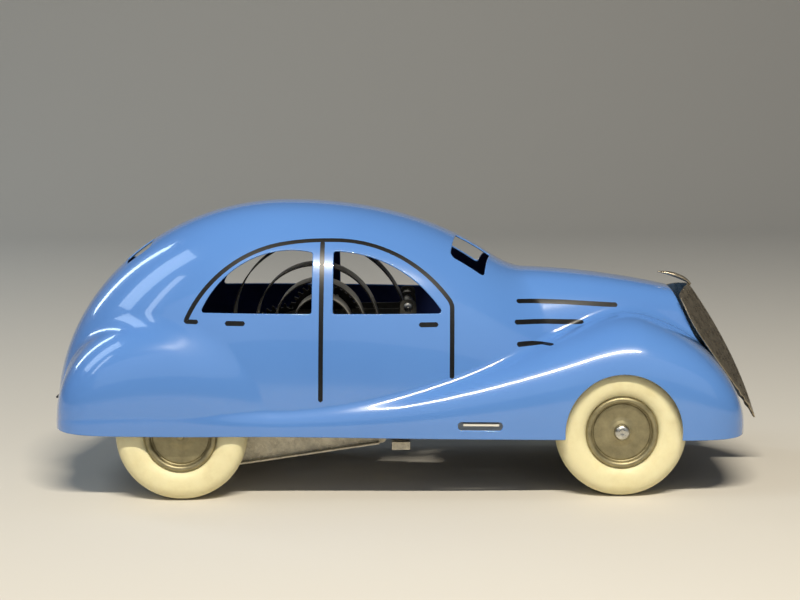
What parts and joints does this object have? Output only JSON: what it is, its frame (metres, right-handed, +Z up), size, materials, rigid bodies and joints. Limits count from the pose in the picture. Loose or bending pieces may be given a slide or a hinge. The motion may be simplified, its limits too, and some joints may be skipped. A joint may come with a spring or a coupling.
{
  "type": "clockwork toy car",
  "caption": "Pressed-tin streamlined saloon with an open clockwork motor, rubber-tyred wheels, plated shield grille and a winding key.",
  "frame": {"origin": "on the floor, midway between the axles, on the car's centre plane", "axes": "+X towards the car's nose, +Y towards its left side, +Z up"},
  "size_m": [0.2318, 0.0974, 0.0907],
  "materials": {
    "blue_enamel": "gloss enamel on tinplate, inside and out",
    "dark_nickel": "dulled dark nickel plate",
    "tinplate": "bare tinplate",
    "axle_steel": "bright drawn steel, aged",
    "hub_grey": "dull stamped steel",
    "white_rubber": "white rubber, slightly grubby",
    "gear_brass": "stamped brass",
    "galvanised": "zinc-coated sheet",
    "spring_steel": "spring steel strip",
    "key_steel": "plated steel"
  },
  "bodies": {
    "chassis": {"body_shell": "blue_enamel", "radiator_grille": "dark_nickel", "bonnet_ornament": "dark_nickel", "base_plate": "tinplate", "plate_rivets": "tinplate", "front_axle": "axle_steel", "motor_plate_right": "galvanised", "motor_plate_middle": "galvanised", "motor_plate_left": "galvanised", "plate_pillars": "axle_steel", "mainspring": "spring_steel", "stop_lever_rivet": "axle_steel"},
    "front_left_wheel": {"front_left_hub": "hub_grey", "front_left_tyre": "white_rubber"},
    "front_right_wheel": {"front_right_hub": "hub_grey", "front_right_tyre": "white_rubber"},
    "rear_wheels": {"rear_axle": "axle_steel", "rear_left_hub": "hub_grey", "rear_right_hub": "hub_grey", "rear_left_tyre": "white_rubber", "rear_right_tyre": "white_rubber", "axle_pinion": "gear_brass"},
    "third_arbor": {"third_pinion": "axle_steel", "third_wheel": "gear_brass"},
    "second_arbor": {"second_pinion": "axle_steel", "second_wheel": "gear_brass"},
    "great_wheel": {"great_wheel": "axle_steel", "click_rivet": "axle_steel", "click_spring": "spring_steel"},
    "click": {"click": "spring_steel"},
    "spring_arbor": {"spring_arbor": "axle_steel", "ratchet_wheel": "gear_brass", "winding_key": "key_steel"},
    "stop_lever": {"stop_lever": "galvanised"}
  },
  "joints": [
    {"name": "front_left_spin", "type": "hinge", "parent": "chassis", "child": "front_left_wheel", "pos_m": [0.0685, 0.0346, 0.0205], "axis": [0, 1, 0], "continuous": true},
    {"name": "front_right_spin", "type": "hinge", "parent": "chassis", "child": "front_right_wheel", "pos_m": [0.0685, -0.0346, 0.0205], "axis": [0, 1, 0], "continuous": true},
    {"name": "rear_axle_spin", "type": "hinge", "parent": "chassis", "child": "rear_wheels", "pos_m": [-0.0685, 0, 0.0205], "axis": [0, 1, 0], "continuous": true},
    {"name": "third_arbor_spin", "type": "hinge", "parent": "chassis", "child": "third_arbor", "pos_m": [-0.05006, 0, 0.02861], "axis": [0, 1, 0], "continuous": true},
    {"name": "second_arbor_spin", "type": "hinge", "parent": "chassis", "child": "second_arbor", "pos_m": [-0.03777, 0, 0.04204], "axis": [0, 1, 0], "continuous": true},
    {"name": "great_wheel_spin", "type": "hinge", "parent": "chassis", "child": "great_wheel", "pos_m": [-0.025, 0, 0.051], "axis": [0, 1, 0], "continuous": true},
    {"name": "click_pivot", "type": "hinge", "parent": "great_wheel", "child": "click", "pos_m": [-0.0208, 0, 0.05828], "axis": [0, 1, 0], "range_deg": [0, 12], "stiffness_Nm_per_rad": 0.00002},
    {"name": "winding", "type": "hinge", "parent": "chassis", "child": "spring_arbor", "pos_m": [-0.025, 0, 0.051], "axis": [0, 1, 0], "range_deg": [-1800, 0]},
    {"name": "stop_lever_pivot", "type": "hinge", "parent": "chassis", "child": "stop_lever", "pos_m": [-0.022, 0, 0.0255], "axis": [0, 1, 0], "range_deg": [0, 6]}
  ],
  "couplings": [
    {"joint": "third_arbor_spin", "follows": "rear_axle_spin", "ratio": -0.55},
    {"joint": "second_arbor_spin", "follows": "rear_axle_spin", "ratio": 0.22},
    {"joint": "great_wheel_spin", "follows": "rear_axle_spin", "ratio": -0.073333}
  ]
}
